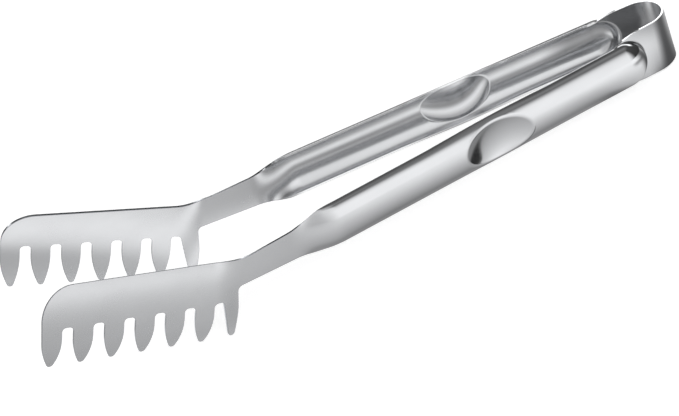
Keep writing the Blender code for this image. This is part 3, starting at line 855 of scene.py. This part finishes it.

# Painted shade beside the bow, as a dark flag would cast: where it starts, and the share of light that
# it leaves beyond a turn
PAINTED_FLAG_SHADE_FOOT = (118.0, 5.0)
PAINTED_FLAG_SHADE_NEAR_TURN = (radians(32.0), radians(74.0))
PAINTED_FLAG_SHADE_FAR_TURN = (radians(80.0), radians(112.0))
PAINTED_FLAG_SHADE_LEFT = 0.13
PAINTED_FLAG_SHADE_LEFT_FAR = 0.45

# Before the painted flag shade a patch of painted shade darkens the floor: between these distances, and
# beyond this turn
FADE_STARTS = (28.0, 50.0)
FADE_ENDS = (52.0, 90.0)
FADE_TURN = (radians(12.0), radians(34.0))
FADE_LEFT = 0.4

# A narrow spot of painted dark on the floor before the dimple, as a black card there would show: its
# middle, its half sizes, its turn, and how softly it ends, as a change in its squared distance from the
# middle
PAINTED_DARK_SPOT_MIDDLE = (66.5, 30.5)
PAINTED_DARK_SPOT_HALF_LENGTH = 9.0
PAINTED_DARK_SPOT_HALF_WIDTH = 1.9
PAINTED_DARK_SPOT_TURN = radians(49.0)
PAINTED_DARK_SPOT_END = (0.7, 1.5)
PAINTED_DARK_SPOT_LEFT = 0.03


class TONGS_OT_stage(bpy.types.Operator):
    """Make the floor, the light and the camera"""

    bl_idname = "tongs.stage"
    bl_label = "Floor, light and camera"

    def execute(self, context):
        stage = context.scene.tongs_stage
        self.add_camera(context)
        self.add_floor(context, stage)
        self.add_light(context)
        context.scene.view_settings.view_transform = "Standard"
        return {"FINISHED"}

    def add_camera(self, context):
        lens = bpy.data.cameras.new("photo_camera")
        lens.sensor_width = SENSOR_WIDTH
        lens.sensor_fit = "HORIZONTAL"
        lens.lens = CAMERA_FOCAL_PIXELS / PHOTO_WIDTH_PIXELS * lens.sensor_width
        lens.clip_start = CAMERA_NEAREST
        camera = bpy.data.objects.new("photo_camera", lens)
        right = (CAMERA_RIGHT - CAMERA_FORWARD * CAMERA_RIGHT.dot(CAMERA_FORWARD)).normalized()
        forward = CAMERA_FORWARD.normalized()
        upward = right.cross(forward)
        turn = Matrix((right, upward, -forward)).transposed().to_4x4()
        camera.matrix_world = TO_WORLD @ Matrix.Translation(CAMERA_PLACE) @ turn
        context.scene.collection.objects.link(camera)
        context.scene.camera = camera

    def add_floor(self, context, stage):
        """A floor of matt white card, which looks plain white to the eye. The camera sees it lifted to
        white, and the steel sees on it a glow of painted light and painted shade instead of the lit card."""
        half = stage.floor_size / 2
        mesh = bpy.data.meshes.new("floor")
        corners = [(-half, -half, 0), (half, -half, 0), (half, half, 0), (-half, half, 0)]
        mesh.from_pydata(corners, [], [(0, 1, 2, 3)])
        floor = bpy.data.objects.new("floor", mesh)
        context.scene.collection.objects.link(floor)
        # The floor's material paints light and shade: the steel sees a glowing pattern of painted shade and
        # painted light on it
        material, node = empty_material("matt_white_card_with_painted_light")
        path = node("LightPath")
        diffuse = node("BsdfDiffuse", (linear(stage.floor_colour),))
        camera_sees = path.outputs["Is Camera Ray"]
        lift = node("MULTIPLY", (camera_sees, stage.floor_lift))
        glow = node("Emission", {"Strength": lift})
        white = node("AddShader", (diffuse, glow))
        # Painted light and painted shade: for the steel the floor glows with a painted pattern, not with
        # lamplight
        mirrored = node("Emission", {"Strength": self.painted_floor_in_steel(node)})
        surface = node("MixShader", (path.outputs["Is Glossy Ray"], white, mirrored))
        node("OutputMaterial", (surface,))
        mesh.materials.append(material)

    def painted_floor_in_steel(self, node):
        """The painted light and painted shade that the steel sees on the floor, as the strength of its glow.
        """
        place = node("TexCoord")
        axes = node("SeparateXYZ", (place.outputs["Object"],))
        x = node("MULTIPLY", (axes.outputs["X"], MM_PER_METRE))
        front = node("MULTIPLY", (axes.outputs["Y"], -MM_PER_METRE))
        aside = node("ABSOLUTE", (front,))
        away = node("SUBTRACT", (aside, self.foot(node, x)))
        past_foot = node("MapRange", (away, -FOOT_SOFTNESS, FOOT_SOFTNESS), **SOFT_RISE)
        inside = self.between_arms(node, x, aside)
        level = node("Mix", (past_foot, inside, self.beside_arms(node, x, aside, away)))
        under_painted_flag = node("MULTIPLY", (level, self.painted_flag_shade(node, x, front)))
        return node("MULTIPLY", (under_painted_flag, self.painted_dark_spot(node, x, front)))

    def foot(self, node, x):
        """How far the arms' feet stand from the middle line."""
        arm = node("MULTIPLY_ADD", (x, FOOT_HALF_PER_MM, FOOT_HALF_AT_MIDDLE))
        past_start = node("SUBTRACT", (x, BOW_START))
        past_arm = node("MAXIMUM", (past_start, 0.0))
        return node("MULTIPLY_ADD", (past_arm, BOW_HALF_PER_MM, arm))

    def between_arms(self, node, x, aside):
        """The painted light on the floor between the arms: a bright strip with dimmer sides, dim under the
        bow.
        """
        past_start = node("SUBTRACT", (x, STRIP_WIDENS_BEFORE))
        left = node("MINIMUM", (past_start, 0.0))
        reach = node("MULTIPLY_ADD", (left, STRIP_REACH_PER_MM, STRIP_REACH))
        share = node("DIVIDE", (aside, reach))
        squared = node("MULTIPLY", (share, share))
        negative = node("MULTIPLY", (squared, -1.0))
        fading = node("EXPONENT", (negative,))
        # Painted light: a bright strip along the floor between the arms
        strip = node("MULTIPLY_ADD", (fading, STRIP_LEVEL, STRIP_SURROUND))
        near_bow = node("MapRange", (x, *STRIP_CHANGE), **SOFT_RISE)
        kept = node("Mix", (near_bow, 1.0, STRIP_AT_BOW))
        return node("MULTIPLY", (strip, kept))

    def beside_arms(self, node, x, aside, away):
        """The painted light on the floor outside the arms' feet, with painted shade near them."""
        along = node("MULTIPLY_ADD", (x, x, SIDEWAYS_REACH ** 2))
        squares = node("MULTIPLY_ADD", (aside, aside, along))
        spread = node("SQRT", (squares,))
        turned = node("DIVIDE", (x, spread))
        sideways = node("MULTIPLY_ADD", (turned, SIDEWAYS_SHARE, SIDEWAYS_MIDDLE))
        past_foot = node("MAXIMUM", (away, 0.0))
        beside = node("MULTIPLY", (past_foot, -1 / SHADE_REACH))
        fading = node("EXPONENT", (beside,))
        past_comb = node("MapRange", (x, *COMB_SHADE_CHANGE), **SOFT_RISE)
        handle_shade = node("Mix", (past_comb, COMB_SHADE, SHADE))
        near_bow = node("MapRange", (x, *BOW_SHADE_CHANGE), **SOFT_RISE)
        shade = node("Mix", (near_bow, handle_shade, BOW_SHADE))
        # Painted shade on the floor near the arms' feet
        shaded = node("MULTIPLY", (fading, shade))
        lit = node("MULTIPLY_ADD", (shaded, -FAR_LEVEL, FAR_LEVEL))
        return node("MULTIPLY", (sideways, lit))

    def painted_flag_shade(self, node, x, front):
        """The share of light that the painted flag shade and the painted darker patch leave."""
        right = node("SUBTRACT", (x, PAINTED_FLAG_SHADE_FOOT[0]))
        nearer = node("SUBTRACT", (front, PAINTED_FLAG_SHADE_FOOT[1]))
        angle = node("ARCTAN2", (right, nearer))
        behind = node("MapRange", (angle, *PAINTED_FLAG_SHADE_NEAR_TURN), **SOFT_RISE)
        far_behind = node("MapRange", (angle, *PAINTED_FLAG_SHADE_FAR_TURN), **SOFT_RISE)
        under_painted_flag = node("Mix", (far_behind, PAINTED_FLAG_SHADE_LEFT, PAINTED_FLAG_SHADE_LEFT_FAR))
        squared = node("POWER", (nearer, 2.0))
        squares = node("MULTIPLY_ADD", (right, right, squared))
        distance = node("SQRT", (squares,))
        started = node("MapRange", (distance, *FADE_STARTS), **SOFT_RISE)
        ended = node("MapRange", (distance, *FADE_ENDS), **SOFT_RISE)
        patch = node("SUBTRACT", (started, ended))
        turned = node("MapRange", (angle, *FADE_TURN), **SOFT_RISE)
        share = node("MULTIPLY", (patch, turned))
        faded = node("Mix", (share, 1.0, FADE_LEFT))
        return node("Mix", (behind, faded, under_painted_flag))

    def painted_dark_spot(self, node, x, front):
        """Nearly 0 on the narrow spot of painted dark and 1 beside it."""
        right = node("SUBTRACT", (x, PAINTED_DARK_SPOT_MIDDLE[0]))
        nearer = node("SUBTRACT", (front, PAINTED_DARK_SPOT_MIDDLE[1]))
        cosine = cos(PAINTED_DARK_SPOT_TURN)
        sine = sin(PAINTED_DARK_SPOT_TURN)
        squares = []
        for right_share, near_share, half in (
                (cosine, sine, PAINTED_DARK_SPOT_HALF_LENGTH), (-sine, cosine, PAINTED_DARK_SPOT_HALF_WIDTH)):
            part = node("MULTIPLY", (right, right_share))
            turned = node("MULTIPLY_ADD", (nearer, near_share, part))
            share = node("DIVIDE", (turned, half))
            squares.append(node("POWER", (share, 2.0)))
        measure = node("ADD", squares)
        beside = node("MapRange", (measure, *PAINTED_DARK_SPOT_END), **SOFT_RISE)
        return node("Mix", (beside, PAINTED_DARK_SPOT_LEFT, 1.0))

    def add_light(self, context):
        """A studio round the tongs: a bright front, a grey wall on the left, a back wall with a bright
        band, and dark flags between them. The camera sees plain white past the floor."""
        world = context.scene.world or bpy.data.worlds.new("studio")
        context.scene.world = world
        world.use_nodes = True
        world.node_tree.nodes.clear()
        node = partial(add_node, world.node_tree)
        direction = node("TexCoord")
        axes = node("SeparateXYZ", (direction.outputs["Generated"],))
        height = node("MapRange", {"Value": axes.outputs["Z"], "From Min": -1.0})
        front = node("MULTIPLY", (axes.outputs["Y"], -1.0))
        bearing = node("ARCTAN2", (axes.outputs["X"], front))
        around = self.add_wall(node, height, BACK_WALL)
        for first, last, levels in STUDIO_TURNS:
            turns = (radians(first), radians(last))
            share = node("MapRange", (bearing, *turns), **SOFT_RISE)
            wall = self.add_wall(node, height, levels)
            around = node("Mix", (share, around, wall), data_type="RGBA")
        path = node("LightPath")
        camera_sees = path.outputs["Is Camera Ray"]
        seen = node("Mix", (camera_sees, around, WHITE), data_type="RGBA")
        glow = node("Background", {"Color": seen})
        node("OutputWorld", (glow,))

    def add_wall(self, node, height, levels):
        """How bright one side of the studio is from straight down to straight up."""
        ramp = node("ValToRGB", (height,))
        stops = ramp.color_ramp.elements
        while len(stops) < len(levels):
            stops.new(1.0)
        for stop, (degrees, level) in zip(stops, levels):
            stop.position = (sin(radians(degrees)) + 1) / 2
            stop.color = (level, level, level, 1)
        return ramp


class TONGS_PT_panel(bpy.types.Panel):
    """Sizes, finish and the steps that build the tongs"""

    bl_idname = "TONGS_PT_panel"
    bl_label = "Spaghetti Tongs"
    bl_space_type = "VIEW_3D"
    bl_region_type = "UI"
    bl_category = "Tongs"

    def draw(self, context):
        for group in (context.scene.tongs_sizes, context.scene.tongs_finish, context.scene.tongs_stage):
            box = self.layout.box()
            for name in group.__annotations__:
                box.prop(group, name)
        for operator in OPERATORS:
            self.layout.operator(operator.bl_idname)


GROUPS = {"tongs_sizes": TongsSizes, "tongs_finish": TongsFinish, "tongs_stage": TongsStage}
OPERATORS = [TONGS_OT_arms, TONGS_OT_stage]


def register():
    for name, group in GROUPS.items():
        bpy.utils.register_class(group)
        setattr(bpy.types.Scene, name, PointerProperty(type=group))
    for operator in OPERATORS:
        bpy.utils.register_class(operator)
    bpy.utils.register_class(TONGS_PT_panel)


def unregister():
    bpy.utils.unregister_class(TONGS_PT_panel)
    for operator in reversed(OPERATORS):
        bpy.utils.unregister_class(operator)
    for name, group in reversed(GROUPS.items()):
        delattr(bpy.types.Scene, name)
        bpy.utils.unregister_class(group)


def main():
    register()
    bpy.ops.tongs.stage()
    bpy.ops.tongs.arms()


if __name__ == "__main__":
    main()
